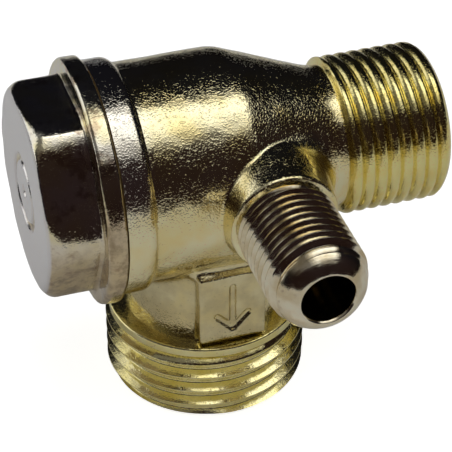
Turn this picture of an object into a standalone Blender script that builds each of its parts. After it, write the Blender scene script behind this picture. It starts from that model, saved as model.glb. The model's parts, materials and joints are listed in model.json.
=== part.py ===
"""Three-way check valve of an air compressor, in metres with +Z up.

The tank port stands on the XY plane with its axis along Z. The main bore runs along X at
AXIS_HEIGHT, with the screwed-in hex cap at -X and the inlet port at +X. The unloader port
points along -Y. Inside, a piston with a rubber disc is pressed onto the seat by a spring.
"""

import math

import bmesh
import bpy
from mathutils import Quaternion, Vector

MM = 0.001
ROUND_STEPS = 40
SMALL_STEPS = 28
MERGE = 1e-6
GAP = 0.3 * MM
OVERRUN = 1.0 * MM
SHARP_ANGLE = math.radians(30)
ORIGIN_UP = Vector((0, 0, 1))

# Outside of the cast body, lengths along X measured from the tank port's axis.
AXIS_HEIGHT = 25.4 * MM
MOUTH_X = -10.4 * MM
COLLAR_END_X = -7.9 * MM
COLLAR_R = 11.80 * MM
COLLAR_CHAMFER = 0.4 * MM
BARREL_R = 11.1 * MM
CONE_START_X = 2.5 * MM
CONE_END_X = 12.3 * MM
INLET_NECK_R = 7.3 * MM

# The three male threads: crest radius, crest spacing, and how far the crests go.
THREAD_DEPTH = 0.6
CREST_FLAT = 0.12
END_CHAMFER = 0.9 * MM
INLET_CREST_R = 8.15 * MM
INLET_PITCH = 1.337 * MM
INLET_CRESTS = 8
INLET_FIRST_CREST_X = 13.4 * MM
INLET_END_X = 23.8 * MM
TANK_CREST_R = 10.48 * MM
TANK_PITCH = 1.814 * MM
TANK_CRESTS = 4
TANK_FIRST_CREST_Z = 1.0 * MM
TANK_SHOULDER_Z = 8.9 * MM
SHOULDER_THICKNESS = 1.1 * MM
SHOULDER_INSET = 0.35 * MM
TANK_NECK_R = 8.5 * MM
UNLOADER_CREST_R = 4.95 * MM
UNLOADER_PITCH = 1.0 * MM
UNLOADER_CRESTS = 9
UNLOADER_FIRST_CREST_Y = -13.6 * MM
UNLOADER_END_Y = -24.9 * MM
UNLOADER_NOSE_R = 4.05 * MM
UNLOADER_NOSE_ROUNDING = 0.95 * MM
UNLOADER_BOSS_ROUNDING = 1.0 * MM
UNLOADER_X = 4.25 * MM
UNLOADER_BOSS_R = 6.1 * MM
UNLOADER_BOSS_END_Y = -13.0 * MM

# Bores of the body.
INLET_BORE_R = 5.2 * MM
TANK_BORE_R = 6.4 * MM
TANK_BORE_TOP_Z = 18.2 * MM
UNLOADER_BORE_R = 2.55 * MM
CAP_BORE_R = 9.3 * MM
CAP_BORE_END_X = -5.3 * MM
CHAMBER_R = 8.5 * MM
SEAT_SHELF_X = -0.2 * MM
SEAT_LIP_X = -1.0 * MM
SEAT_LIP_R = 6.3 * MM

# Raised blank pad on the front of the tank neck.
PAD_WIDTH = 7.0 * MM
PAD_LOW_Z = 9.2 * MM
PAD_HIGH_Z = 17.4 * MM
PAD_X = 0.2 * MM
PAD_FACE_Y = -9.3 * MM
PAD_BEVEL = 0.3 * MM

# Hex cap.
HEX_FLATS = 19.7 * MM
HEX_TURN = math.radians(1.5)
HEX_END_X = -18.35 * MM
HEX_FACE_R = 9.7 * MM
HEX_CHAMFER = 0.9 * MM
HEX_CORNER_ROUNDING = 2.4 * MM
FLANGE_R = 12.4 * MM
FLANGE_X = (-13.0 * MM, -11.1 * MM)
CAP_THREAD_R = 9.0 * MM
CAP_THREAD_PITCH = 1.0 * MM
CAP_CRESTS = 3
CAP_SKIRT_END_X = -6.3 * MM
CAP_BORE_INNER_R = 7.6 * MM
CAP_FLOOR_X = -16.2 * MM
GUIDE_R = 3.7 * MM
GUIDE_END_X = -11.8 * MM
GUIDE_BORE_R = 2.5 * MM
GUIDE_BORE_END_X = -16.9 * MM

# Sealing washer under the cap's flange.
GASKET_INNER_R = 9.6 * MM
GASKET_OUTER_R = 11.5 * MM
GASKET_X = (-10.9 * MM, -10.6 * MM)

# Moving parts, shown shut: the disc stands one gap off the seat lip.
DISC_R = 7.0 * MM
DISC_THICKNESS = 1.4 * MM
PISTON_R = 7.2 * MM
PISTON_PLATE = 1.5 * MM
STEM_R = 2.2 * MM
STEM_END_X = -12.9 * MM
STEM_CHAMFER = 0.4 * MM
SCREW_HOLE_R = 1.3 * MM
SCREW_SHANK_R = 1.0 * MM
SCREW_HEAD_R = 2.2 * MM
SCREW_HEAD_HEIGHT = 1.1 * MM
SCREW_SLOT = 0.6 * MM
SCREW_END_X = -6.6 * MM
WASHER_R = 3.8 * MM
WASHER_THICKNESS = 0.6 * MM

# Return spring around the guide.
WIRE_R = 0.35 * MM
COIL_R = 5.0 * MM
OPEN_TURNS = 4.5
CLOSED_PITCH = 0.95 * MM
TURN_POINTS = 14

DISC_X = (SEAT_LIP_X - GAP - DISC_THICKNESS, SEAT_LIP_X - GAP)
PLATE_X = (DISC_X[0] - GAP - PISTON_PLATE, DISC_X[0] - GAP)
WASHER_X = (DISC_X[1] + GAP, DISC_X[1] + GAP + WASHER_THICKNESS)
HEAD_X = (WASHER_X[1] + GAP, WASHER_X[1] + GAP + SCREW_HEAD_HEIGHT)

ALONG = {
    "+X": Vector((1, 0, 0)),
    "-Y": Vector((0, -1, 0)),
    "+Z": Vector((0, 0, 1)),
}
MAIN_AXIS = Vector((0, 0, AXIS_HEIGHT))
UNLOADER_AXIS = Vector((UNLOADER_X, 0, AXIS_HEIGHT))
ORIGIN = Vector((0, 0, 0))


def clear_scene():
    for obj in list(bpy.data.objects):
        bpy.data.objects.remove(obj, do_unlink=True)


def new_collection(name):
    collection = bpy.data.collections.new(name)
    bpy.context.scene.collection.children.link(collection)
    return collection


def new_material(name, colour, roughness, metallic):
    material = bpy.data.materials.new(name)
    material.use_nodes = True
    shader = material.node_tree.nodes["Principled BSDF"]
    shader.inputs["Base Color"].default_value = (*colour, 1)
    shader.inputs["Roughness"].default_value = roughness
    shader.inputs["Metallic"].default_value = metallic
    return material


def new_object(name, data, collection, material=None):
    obj = bpy.data.objects.new(name, data)
    collection.objects.link(obj)
    if material:
        data.materials.append(material)
    if collection.name == "cutters":
        obj.hide_render = True
        obj.display_type = "WIRE"
    return obj


def turned(name, profile, towards, foot, steps, collection, material=None, ring=False):
    """A solid turned about an axis that starts at foot. The profile is (along, radius) pairs
    from the far end back to the foot; ring closes it into a loop around a through hole."""
    mesh = bpy.data.meshes.new(name)
    edges = [(i, i + 1) for i in range(len(profile) - 1)]
    if ring:
        edges.append((len(profile) - 1, 0))
    mesh.from_pydata([(radius, 0, along) for along, radius in profile], edges, [])
    obj = new_object(name, mesh, collection, material)
    screw = obj.modifiers.new("turn", "SCREW")
    screw.steps = steps
    screw.render_steps = steps
    screw.use_merge_vertices = True
    screw.merge_threshold = MERGE
    obj.rotation_mode = "QUATERNION"
    obj.rotation_quaternion = ORIGIN_UP.rotation_difference(ALONG[towards])
    obj.location = foot
    return obj


def cylinder(name, start, end, radius, towards, foot, steps, collection):
    profile = [(end, 0), (end, radius), (start, radius), (start, 0)]
    return turned(name, profile, towards, foot, steps, collection)


def tube(name, start, end, inner, outer, steps, collection, material):
    """A washer or disc with a hole, on the main axis."""
    profile = [(end, outer), (start, outer), (start, inner), (end, inner)]
    return turned(name, profile, "+X", MAIN_AXIS, steps, collection, material, ring=True)


def block(name, size, centre, collection):
    mesh = bpy.data.meshes.new(name)
    builder = bmesh.new()
    bmesh.ops.create_cube(builder, size=1)
    bmesh.ops.scale(builder, vec=size, verts=builder.verts)
    builder.to_mesh(mesh)
    builder.free()
    obj = new_object(name, mesh, collection)
    obj.location = centre
    return obj


def crests(first, pitch, count, crest_r):
    """Ridges of a thread as (along, radius) pairs, starting with the crest at first."""
    root_r = crest_r - THREAD_DEPTH * pitch
    flat = CREST_FLAT * pitch
    points = []
    for k in range(count):
        centre = first + k * pitch
        points += [(centre - flat / 2, crest_r), (centre + flat / 2, crest_r)]
        if k < count - 1:
            points.append((centre + pitch / 2, root_r))
    return points


def rounded_corner(end, radius, rounding, angles):
    """A quarter-round where a cylinder of this radius meets its end face, as (along, radius)."""
    return [
        (
            end - rounding * (1 - math.sin(angle)),
            radius - rounding * (1 - math.cos(angle)),
        )
        for angle in angles
    ]


def combine(target, tool, operation):
    modifier = target.modifiers.new(operation.lower(), "BOOLEAN")
    modifier.operation = operation
    modifier.object = tool


def finish(obj):
    """Applies the modifiers, shades round faces smooth and keeps corners crisp."""
    graph = bpy.context.evaluated_depsgraph_get()
    mesh = bpy.data.meshes.new_from_object(obj.evaluated_get(graph))
    mesh.name = obj.name
    obj.modifiers.clear()
    obj.data = mesh
    mesh.shade_smooth()
    mesh.set_sharp_from_angle(angle=SHARP_ANGLE)
    return obj


def barrel(collection, material):
    """Collar, barrel, cone and inlet port, solid, along X."""
    profile = [
        (MOUTH_X, 0),
        (MOUTH_X, COLLAR_R),
        (COLLAR_END_X - COLLAR_CHAMFER, COLLAR_R),
        (COLLAR_END_X, BARREL_R),
        (CONE_START_X, BARREL_R),
        (CONE_END_X, INLET_NECK_R),
        (INLET_FIRST_CREST_X - 0.6 * INLET_PITCH, INLET_NECK_R),
        *crests(INLET_FIRST_CREST_X, INLET_PITCH, INLET_CRESTS, INLET_CREST_R),
        (INLET_END_X, INLET_CREST_R - END_CHAMFER),
        (INLET_END_X, 0),
    ]
    return turned(
        "valve_body", profile[::-1], "+X", MAIN_AXIS, ROUND_STEPS, collection, material
    )


def tank_port(cutters):
    """Tank port, shoulder and neck, solid, standing on z = 0."""
    shoulder_r = TANK_CREST_R - SHOULDER_INSET
    profile = [
        (0, 0),
        (0, TANK_CREST_R - END_CHAMFER),
        *crests(TANK_FIRST_CREST_Z, TANK_PITCH, TANK_CRESTS, TANK_CREST_R),
        (TANK_SHOULDER_Z - SHOULDER_THICKNESS, shoulder_r - END_CHAMFER),
        (TANK_SHOULDER_Z - SHOULDER_THICKNESS, shoulder_r),
        (TANK_SHOULDER_Z, shoulder_r),
        (TANK_SHOULDER_Z, TANK_NECK_R),
        (AXIS_HEIGHT, TANK_NECK_R),
        (AXIS_HEIGHT, 0),
    ]
    return turned("tank_port", profile[::-1], "+Z", ORIGIN, ROUND_STEPS, cutters)


def unloader_port(cutters):
    """Boss, thread and rounded nose of the unloader port, solid, along -Y."""
    length = -UNLOADER_END_Y
    boss_end = -UNLOADER_BOSS_END_Y
    thread_end = -UNLOADER_FIRST_CREST_Y + (UNLOADER_CRESTS - 0.5) * UNLOADER_PITCH
    quarter = [math.radians(degrees) for degrees in (0, 30, 60, 90)]
    boss = rounded_corner(boss_end, UNLOADER_BOSS_R, UNLOADER_BOSS_ROUNDING, quarter)
    nose = rounded_corner(length, UNLOADER_NOSE_R, UNLOADER_NOSE_ROUNDING, quarter)
    profile = [
        (0, 0),
        (0, UNLOADER_BOSS_R),
        *boss,
        (boss_end, UNLOADER_CREST_R - THREAD_DEPTH * UNLOADER_PITCH),
        *crests(-UNLOADER_FIRST_CREST_Y, UNLOADER_PITCH, UNLOADER_CRESTS, UNLOADER_CREST_R),
        (thread_end, (UNLOADER_CREST_R + UNLOADER_NOSE_R) / 2),
        *nose,
        (length, 0),
    ]
    return turned("unloader_port", profile[::-1], "-Y", UNLOADER_AXIS, SMALL_STEPS, cutters)


def pad(cutters):
    """The raised flat pad, a bevelled block whose back is buried in the neck."""
    depth = -PAD_FACE_Y / 2
    size = (PAD_WIDTH, depth, PAD_HIGH_Z - PAD_LOW_Z)
    centre = (PAD_X, PAD_FACE_Y + depth / 2, (PAD_HIGH_Z + PAD_LOW_Z) / 2)
    obj = block("pad", size, centre, cutters)
    bevel = obj.modifiers.new("edges", "BEVEL")
    bevel.width = PAD_BEVEL
    bevel.segments = 1
    return obj


def body_bores(cutters):
    """The body's hollows: cap bore and chamber with the seat lip, then the other two ports."""
    main = [
        (MOUTH_X - OVERRUN, 0),
        (MOUTH_X - OVERRUN, CAP_BORE_R),
        (CAP_BORE_END_X, CAP_BORE_R),
        (CAP_BORE_END_X, CHAMBER_R),
        (SEAT_SHELF_X, CHAMBER_R),
        (SEAT_SHELF_X, SEAT_LIP_R),
        (SEAT_LIP_X, SEAT_LIP_R),
        (SEAT_LIP_X, INLET_BORE_R),
        (INLET_END_X + OVERRUN, INLET_BORE_R),
        (INLET_END_X + OVERRUN, 0),
    ]
    tank = (-OVERRUN, TANK_BORE_TOP_Z, TANK_BORE_R)
    unloader = (0, -UNLOADER_END_Y + OVERRUN, UNLOADER_BORE_R)
    return [
        turned("main_bore", main[::-1], "+X", MAIN_AXIS, ROUND_STEPS, cutters),
        cylinder("tank_bore", *tank, "+Z", ORIGIN, ROUND_STEPS, cutters),
        cylinder("unloader_bore", *unloader, "-Y", UNLOADER_AXIS, SMALL_STEPS, cutters),
    ]


def build_body(parts, cutters, material):
    body = barrel(parts, material)
    for addition in (tank_port(cutters), unloader_port(cutters), pad(cutters)):
        combine(body, addition, "UNION")
    for bore in body_bores(cutters):
        combine(body, bore, "DIFFERENCE")
    return finish(body)


def hexagon(cutters):
    """The cap's hexagonal prism with rounded corners, along X."""
    builder = bmesh.new()
    corner_r = HEX_FLATS / 2 / math.cos(math.radians(30))
    hex_start, hex_end = HEX_END_X, FLANGE_X[1] - GAP
    bmesh.ops.create_cone(
        builder,
        cap_ends=True,
        segments=6,
        radius1=corner_r,
        radius2=corner_r,
        depth=hex_end - hex_start,
    )
    corners = [e for e in builder.edges if abs(e.verts[0].co.z - e.verts[1].co.z) > MM]
    bmesh.ops.bevel(
        builder,
        geom=corners,
        offset=HEX_CORNER_ROUNDING,
        segments=3,
        profile=0.5,
        affect="EDGES",
    )
    mesh = bpy.data.meshes.new("hexagon")
    builder.to_mesh(mesh)
    builder.free()
    obj = new_object("hexagon", mesh, cutters)
    turn_flat_up = Quaternion((0, 0, 1), -HEX_TURN)
    obj.rotation_mode = "QUATERNION"
    obj.rotation_quaternion = ORIGIN_UP.rotation_difference(ALONG["+X"]) @ turn_flat_up
    obj.location = MAIN_AXIS + Vector(((hex_start + hex_end) / 2, 0, 0))
    return obj


def hex_chamfer(cutters):
    """The cone that rounds off the hexagon's outer end to a circle."""
    corner_r = HEX_FLATS / 2 / math.cos(math.radians(30))
    far = FLANGE_X[1]
    profile = [
        (HEX_END_X, 0),
        (HEX_END_X, HEX_FACE_R),
        (HEX_END_X + HEX_CHAMFER, corner_r),
        (far, corner_r),
        (far, 0),
    ]
    return turned("hex_chamfer", profile[::-1], "+X", MAIN_AXIS, ROUND_STEPS, cutters)


def cap_hollow(cutters):
    """The space inside the cap: the spring's room around the guide, and the guide's bore."""
    profile = [
        (GUIDE_BORE_END_X, 0),
        (GUIDE_BORE_END_X, GUIDE_BORE_R),
        (GUIDE_END_X, GUIDE_BORE_R),
        (GUIDE_END_X, GUIDE_R),
        (CAP_FLOOR_X, GUIDE_R),
        (CAP_FLOOR_X, CAP_BORE_INNER_R),
        (CAP_SKIRT_END_X + OVERRUN, CAP_BORE_INNER_R),
        (CAP_SKIRT_END_X + OVERRUN, 0),
    ]
    return turned("cap_hollow", profile[::-1], "+X", MAIN_AXIS, ROUND_STEPS, cutters)


def build_cap(parts, cutters, material):
    """Flange and threaded skirt, joined to the chamfered hexagon and hollowed."""
    root_r = CAP_THREAD_R - THREAD_DEPTH * CAP_THREAD_PITCH
    first_crest = FLANGE_X[1] + 1.2 * CAP_THREAD_PITCH
    profile = [
        (FLANGE_X[0], 0),
        (FLANGE_X[0], FLANGE_R),
        (FLANGE_X[1], FLANGE_R),
        (FLANGE_X[1], root_r),
        (first_crest - CAP_THREAD_PITCH / 2, root_r),
        *crests(first_crest, CAP_THREAD_PITCH, CAP_CRESTS, CAP_THREAD_R),
        (CAP_SKIRT_END_X, root_r),
        (CAP_SKIRT_END_X, 0),
    ]
    cap = turned("hex_cap", profile[::-1], "+X", MAIN_AXIS, ROUND_STEPS, parts, material)
    outline = hexagon(cutters)
    combine(outline, hex_chamfer(cutters), "INTERSECT")
    combine(cap, outline, "UNION")
    combine(cap, cap_hollow(cutters), "DIFFERENCE")
    return finish(cap)


def build_piston(parts, material):
    """Plate and guide stem, with a blind hole for the disc's screw."""
    hole_end = SCREW_END_X - GAP
    profile = [
        (hole_end, 0),
        (hole_end, SCREW_HOLE_R),
        (PLATE_X[1], SCREW_HOLE_R),
        (PLATE_X[1], PISTON_R),
        (PLATE_X[0], PISTON_R),
        (PLATE_X[0], STEM_R),
        (STEM_END_X + STEM_CHAMFER, STEM_R),
        (STEM_END_X, STEM_R - STEM_CHAMFER),
        (STEM_END_X, 0),
    ]
    return turned("piston", profile, "+X", MAIN_AXIS, SMALL_STEPS, parts, material)


def build_screw(parts, cutters, material):
    """Slotted pan-head screw that holds washer and disc to the piston."""
    edge = SCREW_HEAD_HEIGHT / 3
    profile = [
        (HEAD_X[1], 0),
        (HEAD_X[1], SCREW_HEAD_R - edge),
        (HEAD_X[1] - edge, SCREW_HEAD_R),
        (HEAD_X[0], SCREW_HEAD_R),
        (HEAD_X[0], SCREW_SHANK_R),
        (SCREW_END_X, SCREW_SHANK_R),
        (SCREW_END_X, 0),
    ]
    screw = turned("disc_screw", profile, "+X", MAIN_AXIS, SMALL_STEPS, parts, material)
    depth = SCREW_HEAD_HEIGHT / 2
    size = (2 * depth, 3 * SCREW_HEAD_R, SCREW_SLOT)
    slot = block("slot", size, MAIN_AXIS + Vector((HEAD_X[1], 0, 0)), cutters)
    combine(screw, slot, "DIFFERENCE")
    return screw


def build_spring(parts, material):
    """Compression spring with one closed turn at each end, wound around the main axis."""
    start = CAP_FLOOR_X + GAP + WIRE_R
    end = PLATE_X[0] - GAP - WIRE_R
    turns = OPEN_TURNS + 2
    open_pitch = (end - start - 2 * CLOSED_PITCH) / OPEN_TURNS
    count = int(turns * TURN_POINTS) + 1
    curve = bpy.data.curves.new("return_spring", "CURVE")
    curve.dimensions = "3D"
    curve.bevel_depth = WIRE_R
    curve.bevel_resolution = 2
    curve.use_fill_caps = True
    spline = curve.splines.new("POLY")
    spline.points.add(count - 1)
    for k, point in enumerate(spline.points):
        turn = turns * k / (count - 1)
        opened = min(max(turn - 1, 0), OPEN_TURNS)
        along = start + opened * open_pitch + (turn - opened) * CLOSED_PITCH
        angle = 2 * math.pi * turn
        point.co = (along, COIL_R * math.cos(angle), COIL_R * math.sin(angle), 1)
    spring = new_object("return_spring", curve, parts, material)
    spring.location = MAIN_AXIS
    return spring


def build_moving_parts(parts, cutters, steel, rubber, brass):
    """Everything that slides with the piston, under an empty on the joint's axis."""
    slide = new_object("piston_slide", None, parts)
    slide.location = MAIN_AXIS
    moving = [
        build_piston(parts, brass),
        tube("seal_disc", *DISC_X, SCREW_HOLE_R, DISC_R, SMALL_STEPS, parts, rubber),
        tube("disc_washer", *WASHER_X, SCREW_HOLE_R, WASHER_R, SMALL_STEPS, parts, steel),
        build_screw(parts, cutters, steel),
    ]
    for piece in moving:
        finish(piece)
        piece.parent = slide
        piece.location = ORIGIN


clear_scene()
parts = new_collection("check_valve")
cutters = new_collection("cutters")
brass = new_material("plated_brass", (0.80, 0.66, 0.34), 0.28, 1.0)
plain_brass = new_material("plain_brass", (0.76, 0.55, 0.22), 0.38, 1.0)
steel = new_material("zinc_steel", (0.62, 0.62, 0.60), 0.35, 1.0)
spring_steel = new_material("spring_steel", (0.45, 0.45, 0.46), 0.30, 1.0)
rubber = new_material("black_rubber", (0.03, 0.03, 0.03), 0.75, 0.0)

build_body(parts, cutters, brass)
build_cap(parts, cutters, brass)
finish(tube("cap_gasket", *GASKET_X, GASKET_INNER_R, GASKET_OUTER_R, ROUND_STEPS, parts, rubber))
build_moving_parts(parts, cutters, steel, rubber, plain_brass)
build_spring(parts, spring_steel)
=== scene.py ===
"""The looks of the check valve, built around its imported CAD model.

Lengths inside the shape functions are millimetres in the row frame: the tank thread's axis
is Z, the main bore runs along X at AXIS_Z, and the unloader port points along -Y.
"""

import json
import math

import bmesh
import bpy
import numpy as np
from mathutils import Matrix, Vector

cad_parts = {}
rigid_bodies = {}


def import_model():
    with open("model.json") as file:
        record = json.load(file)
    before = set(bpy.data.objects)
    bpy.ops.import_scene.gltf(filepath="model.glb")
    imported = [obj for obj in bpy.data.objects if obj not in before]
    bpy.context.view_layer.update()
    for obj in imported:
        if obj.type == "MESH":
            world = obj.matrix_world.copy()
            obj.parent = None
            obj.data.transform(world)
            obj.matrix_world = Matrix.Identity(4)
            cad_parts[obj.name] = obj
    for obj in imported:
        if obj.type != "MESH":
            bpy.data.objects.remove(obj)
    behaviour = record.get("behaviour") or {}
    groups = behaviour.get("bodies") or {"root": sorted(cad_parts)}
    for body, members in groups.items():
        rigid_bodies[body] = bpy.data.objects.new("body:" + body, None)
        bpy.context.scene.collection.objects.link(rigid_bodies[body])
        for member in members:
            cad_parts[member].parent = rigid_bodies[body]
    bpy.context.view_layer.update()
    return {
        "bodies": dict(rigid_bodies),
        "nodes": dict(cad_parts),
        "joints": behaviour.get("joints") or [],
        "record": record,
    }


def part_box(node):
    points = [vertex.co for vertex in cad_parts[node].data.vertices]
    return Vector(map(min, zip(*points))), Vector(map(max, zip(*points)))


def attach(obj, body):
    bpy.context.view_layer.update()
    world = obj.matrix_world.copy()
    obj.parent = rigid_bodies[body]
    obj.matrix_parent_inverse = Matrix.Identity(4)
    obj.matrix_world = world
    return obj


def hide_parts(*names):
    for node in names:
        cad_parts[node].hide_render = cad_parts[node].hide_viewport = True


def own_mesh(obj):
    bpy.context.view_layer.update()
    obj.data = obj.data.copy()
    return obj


MM = 0.001
AXIS_Z = 25.4
SHARP_ANGLE = math.radians(42)
STEPS = 160
INNER_STEPS = 96
UNLOADER_STEPS = 128
SEED = 7

# Casting. It is cast a little past each machined face and cut back there.
MACHINING_ALLOWANCE = 0.6
MOUTH_X = -10.85
COLLAR_END_X = -7.9
COLLAR_R = 11.75
COLLAR_ROUNDING = 1.05
BARREL_R = 11.05
BARREL_START_X = -9.5
CONE_START_X = 2.5
CONE_END_X = 12.3
INLET_NECK_R = 7.3
NECK_R = 8.5
NECK_FOOT_Z = 8.9
BOSS_X = 4.25
BOSS_R = 6.1
BOSS_END_Y = -13.0
BOSS_ROUNDING = 0.5
BOSS_TIP_R = 5.45
BOSS_TAPER_Y = 8.5
PAD_CENTRE = (0.18, -7.0, 13.3)
PAD_HALF = (3.5, 2.27, 4.1)
PAD_ROUNDING = 0.35
# The arrow: half its length, its barbs' starts (sideways, down from its middle), and its stroke.
ARROW_HALF_LENGTH = 2.6
ARROW_BARB = (1.6, 0.9)
ARROW_STROKE_R = 0.36
# Widths of the casting's soft edges and fillets.
CONE_EDGE = 0.3
INLET_FILLET = 0.5
BARREL_EDGE = 0.2
COLLAR_FILLET = 0.15
NECK_FILLET = 0.9
BOSS_FILLET = 0.25
BOSS_WEB = 1.3
PAD_FILLET = 0.3
PAD_TOP_FILLET = 1.1
ARROW_EDGE = 0.15
# Grid step, and the skin's unevenness as pairs of height and wavelength.
CASTING_STEP = 0.2
CASTING_SKIN = ((0.022, 5.0), (0.010, 1.7))

# Ports: where each one starts or ends, its thread's crest radius, depth and pitch, and its bore.
INLET_START_X = 12.9
INLET_END_X = 23.8
INLET_CREST_R = 8.13
INLET_DEPTH = 0.44
INLET_PITCH = 1.337
INLET_BORE_R = 5.2
TANK_CREST_R = 10.46
TANK_ROOT_R = 9.55
TANK_RIM_R = 10.13
TANK_DEPTH = 0.95
TANK_PITCH = 1.814
TANK_BORE_R = 6.4
TANK_BORE_TOP_Z = 18.2
UNLOADER_CREST_R = 4.95
UNLOADER_ROOT_R = 4.4
UNLOADER_DEPTH = 0.62
UNLOADER_PITCH = 1.0
UNLOADER_END_Y = -24.9
UNLOADER_BORE_R = 2.55

# Main bore of the body.
CAP_BORE_R = 9.3
CAP_BORE_END_X = -5.3
CHAMBER_R = 8.5
SEAT_SHELF_X = -0.2
SEAT_LIP_X = -1.0
SEAT_LIP_R = 6.3

# Hex cap.
HEX_FLATS = 19.7
HEX_TILT = math.radians(31.5)
HEX_END_X = -18.3
HEX_CORNER_R = 10.85
HEX_CHAMFER_R = 10.35
HEX_CHAMFER_LENGTH = 0.45
FACE_RING_R = 3.6
FLANGE_R = 12.35
FLANGE_X = (-13.0, -11.1)
CAP_THREAD_R = 9.0
CAP_THREAD_DEPTH = 0.6
CAP_THREAD_PITCH = 1.0
CAP_SKIRT_END_X = -6.3
CAP_INNER_R = 7.6
CAP_FLOOR_X = -16.2
GUIDE_R = 3.7
GUIDE_END_X = -11.8
GUIDE_BORE_R = 2.5
GUIDE_BORE_END_X = -16.9
CAP_STEP = 0.18
CAP_SKIN = ((0.02, 4.0), (0.008, 1.5))
# Widths of the cap's soft edges.
HEX_CORNER_EDGE = 0.9
HEX_CHAMFER_EDGE = 0.5
HEX_END_EDGE = 0.35
FLANGE_EDGES = (0.55, 0.25)
FLANGE_FILLET = 0.35
FACE_MARK_EDGE = 0.12

# Small parts.
GASKET_HOLE_R = 9.6
SCREW_HOLE_R = 1.3

# Each turned shape is drawn as (along, radius) on one of these frames: foot, along, u, v.
MAIN = (Vector((0, 0, AXIS_Z)), Vector((1, 0, 0)), Vector((0, 1, 0)), Vector((0, 0, 1)))
TANK = (Vector((0, 0, 0)), Vector((0, 0, -1)), Vector((0, 1, 0)), Vector((1, 0, 0)))
UNLOADER = (
    Vector((BOSS_X, 0, AXIS_Z)),
    Vector((0, -1, 0)),
    Vector((1, 0, 0)),
    Vector((0, 0, 1)),
)


# ---------------------------------------------------------------- mesh helpers


def new_piece(name, vertices, faces):
    """A mesh object from points in millimetres, already in place in the row frame."""
    mesh = bpy.data.meshes.new(name)
    mesh.from_pydata((np.asarray(vertices, float) * MM).tolist(), [], faces)
    obj = bpy.data.objects.new(name, mesh)
    bpy.context.scene.collection.objects.link(obj)
    return obj


def tidy_mesh(obj, merge=0.0):
    """Merges doubled points, drops flat slivers and turns every face outwards."""
    builder = bmesh.new()
    builder.from_mesh(obj.data)
    if merge:
        bmesh.ops.remove_doubles(builder, verts=builder.verts, dist=merge * MM)
        bmesh.ops.dissolve_degenerate(builder, edges=builder.edges, dist=merge * MM)
    bmesh.ops.recalc_face_normals(builder, faces=builder.faces)
    builder.to_mesh(obj.data)
    builder.free()


def shade(obj, angle=SHARP_ANGLE):
    obj.data.shade_smooth()
    obj.data.set_sharp_from_angle(angle=angle)
    return obj


def cut(obj, tools, operation="DIFFERENCE"):
    """Cuts the tools out of obj, or joins them to it, and removes them."""
    for tool in tools:
        modifier = obj.modifiers.new("cut", "BOOLEAN")
        modifier.operation = operation
        modifier.solver = "MANIFOLD"
        modifier.object = tool
    graph = bpy.context.evaluated_depsgraph_get()
    mesh = bpy.data.meshes.new_from_object(obj.evaluated_get(graph))
    obj.modifiers.clear()
    obj.data = mesh
    for tool in tools:
        bpy.data.objects.remove(tool, do_unlink=True)
    return obj


def ring_points(along, radius, angles, frame):
    foot, axis, u, v = (np.array(part) for part in frame)
    radial = np.outer(np.cos(angles), u) + np.outer(np.sin(angles), v)
    return foot + np.outer(along, axis) + radius[:, None] * radial


def turned(name, profile, frame, steps, ring=False):
    """A solid turned about a frame's axis from (along, radius) points. The profile runs from
    axis to axis, or with ring it is a loop around a through hole."""
    angles = np.linspace(0, 2 * math.pi, steps, endpoint=False)
    vertices = []
    rings = []
    for along, radius in profile:
        count = steps if radius > 0 else 1
        first = len(vertices)
        points = ring_points(
            np.full(count, along), np.full(count, radius), angles[:count], frame
        )
        vertices.extend(points)
        rings.append([first + k % count for k in range(steps + 1)])
    if ring:
        rings.append(rings[0])
    faces = []
    for low, high in zip(rings, rings[1:]):
        for k in range(steps):
            corners = [low[k], low[k + 1], high[k + 1], high[k]]
            face = list(dict.fromkeys(corners))
            if len(face) > 2:
                faces.append(face)
    obj = new_piece(name, vertices, faces)
    tidy_mesh(obj)
    return obj


def soften(points, radius, segments=4, closed=False):
    """The same outline with each corner turned into an arc. radius is one number or one
    for each point; a corner with radius 0 stays sharp."""
    count = len(points)
    radii = radius if isinstance(radius, (list, tuple)) else [radius] * count
    outline = []
    for k, point in enumerate(points):
        at_end = k in (0, count - 1) and not closed
        here = Vector(point)
        before = Vector(points[k - 1]) - here
        after = Vector(points[(k + 1) % count]) - here
        if at_end or radii[k] <= 0:
            outline.append(tuple(here))
            continue
        reach = min(radii[k], 0.45 * before.length, 0.45 * after.length)
        start = here + before.normalized() * reach
        end = here + after.normalized() * reach
        for step in range(segments + 1):
            t = step / segments
            outline.append(tuple(start * (1 - t) ** 2 + here * 2 * t * (1 - t) + end * t**2))
    return outline


def box(name, low, high):
    xs, ys, zs = zip(low, high)
    vertices = [(x, y, z) for x in xs for y in ys for z in zs]
    faces = [(0, 1, 3, 2), (4, 6, 7, 5), (0, 4, 5, 1), (2, 3, 7, 6), (0, 2, 6, 4), (1, 5, 7, 3)]
    obj = new_piece(name, vertices, faces)
    tidy_mesh(obj)
    return obj


# ---------------------------------------------------------------- solids from distance fields


def smooth_max(a, b, width):
    share = np.clip(0.5 + 0.5 * (a - b) / width, 0, 1)
    return b + (a - b) * share + width * share * (1 - share)


def smooth_min(a, b, width):
    return -smooth_max(-a, -b, width)


def ramp(values, low, high):
    t = np.clip((values - low) / (high - low), 0, 1)
    return t * t * (3 - 2 * t)


def rounded_block(x, y, z, centre, half, rounding):
    offsets = [np.abs(v - c) - (h - rounding) for v, c, h in zip((x, y, z), centre, half)]
    outside = np.sqrt(sum(np.maximum(q, 0) ** 2 for q in offsets))
    inside = np.minimum(np.maximum(np.maximum(offsets[0], offsets[1]), offsets[2]), 0)
    return outside + inside - rounding


def capsule(x, y, z, start, end, radius):
    start, end = np.array(start), np.array(end)
    span = end - start
    rel = (x - start[0], y - start[1], z - start[2])
    t = np.clip(sum(r * s for r, s in zip(rel, span)) / (span @ span), 0, 1)
    return np.sqrt(sum((r - t * s) ** 2 for r, s in zip(rel, span))) - radius


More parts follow.
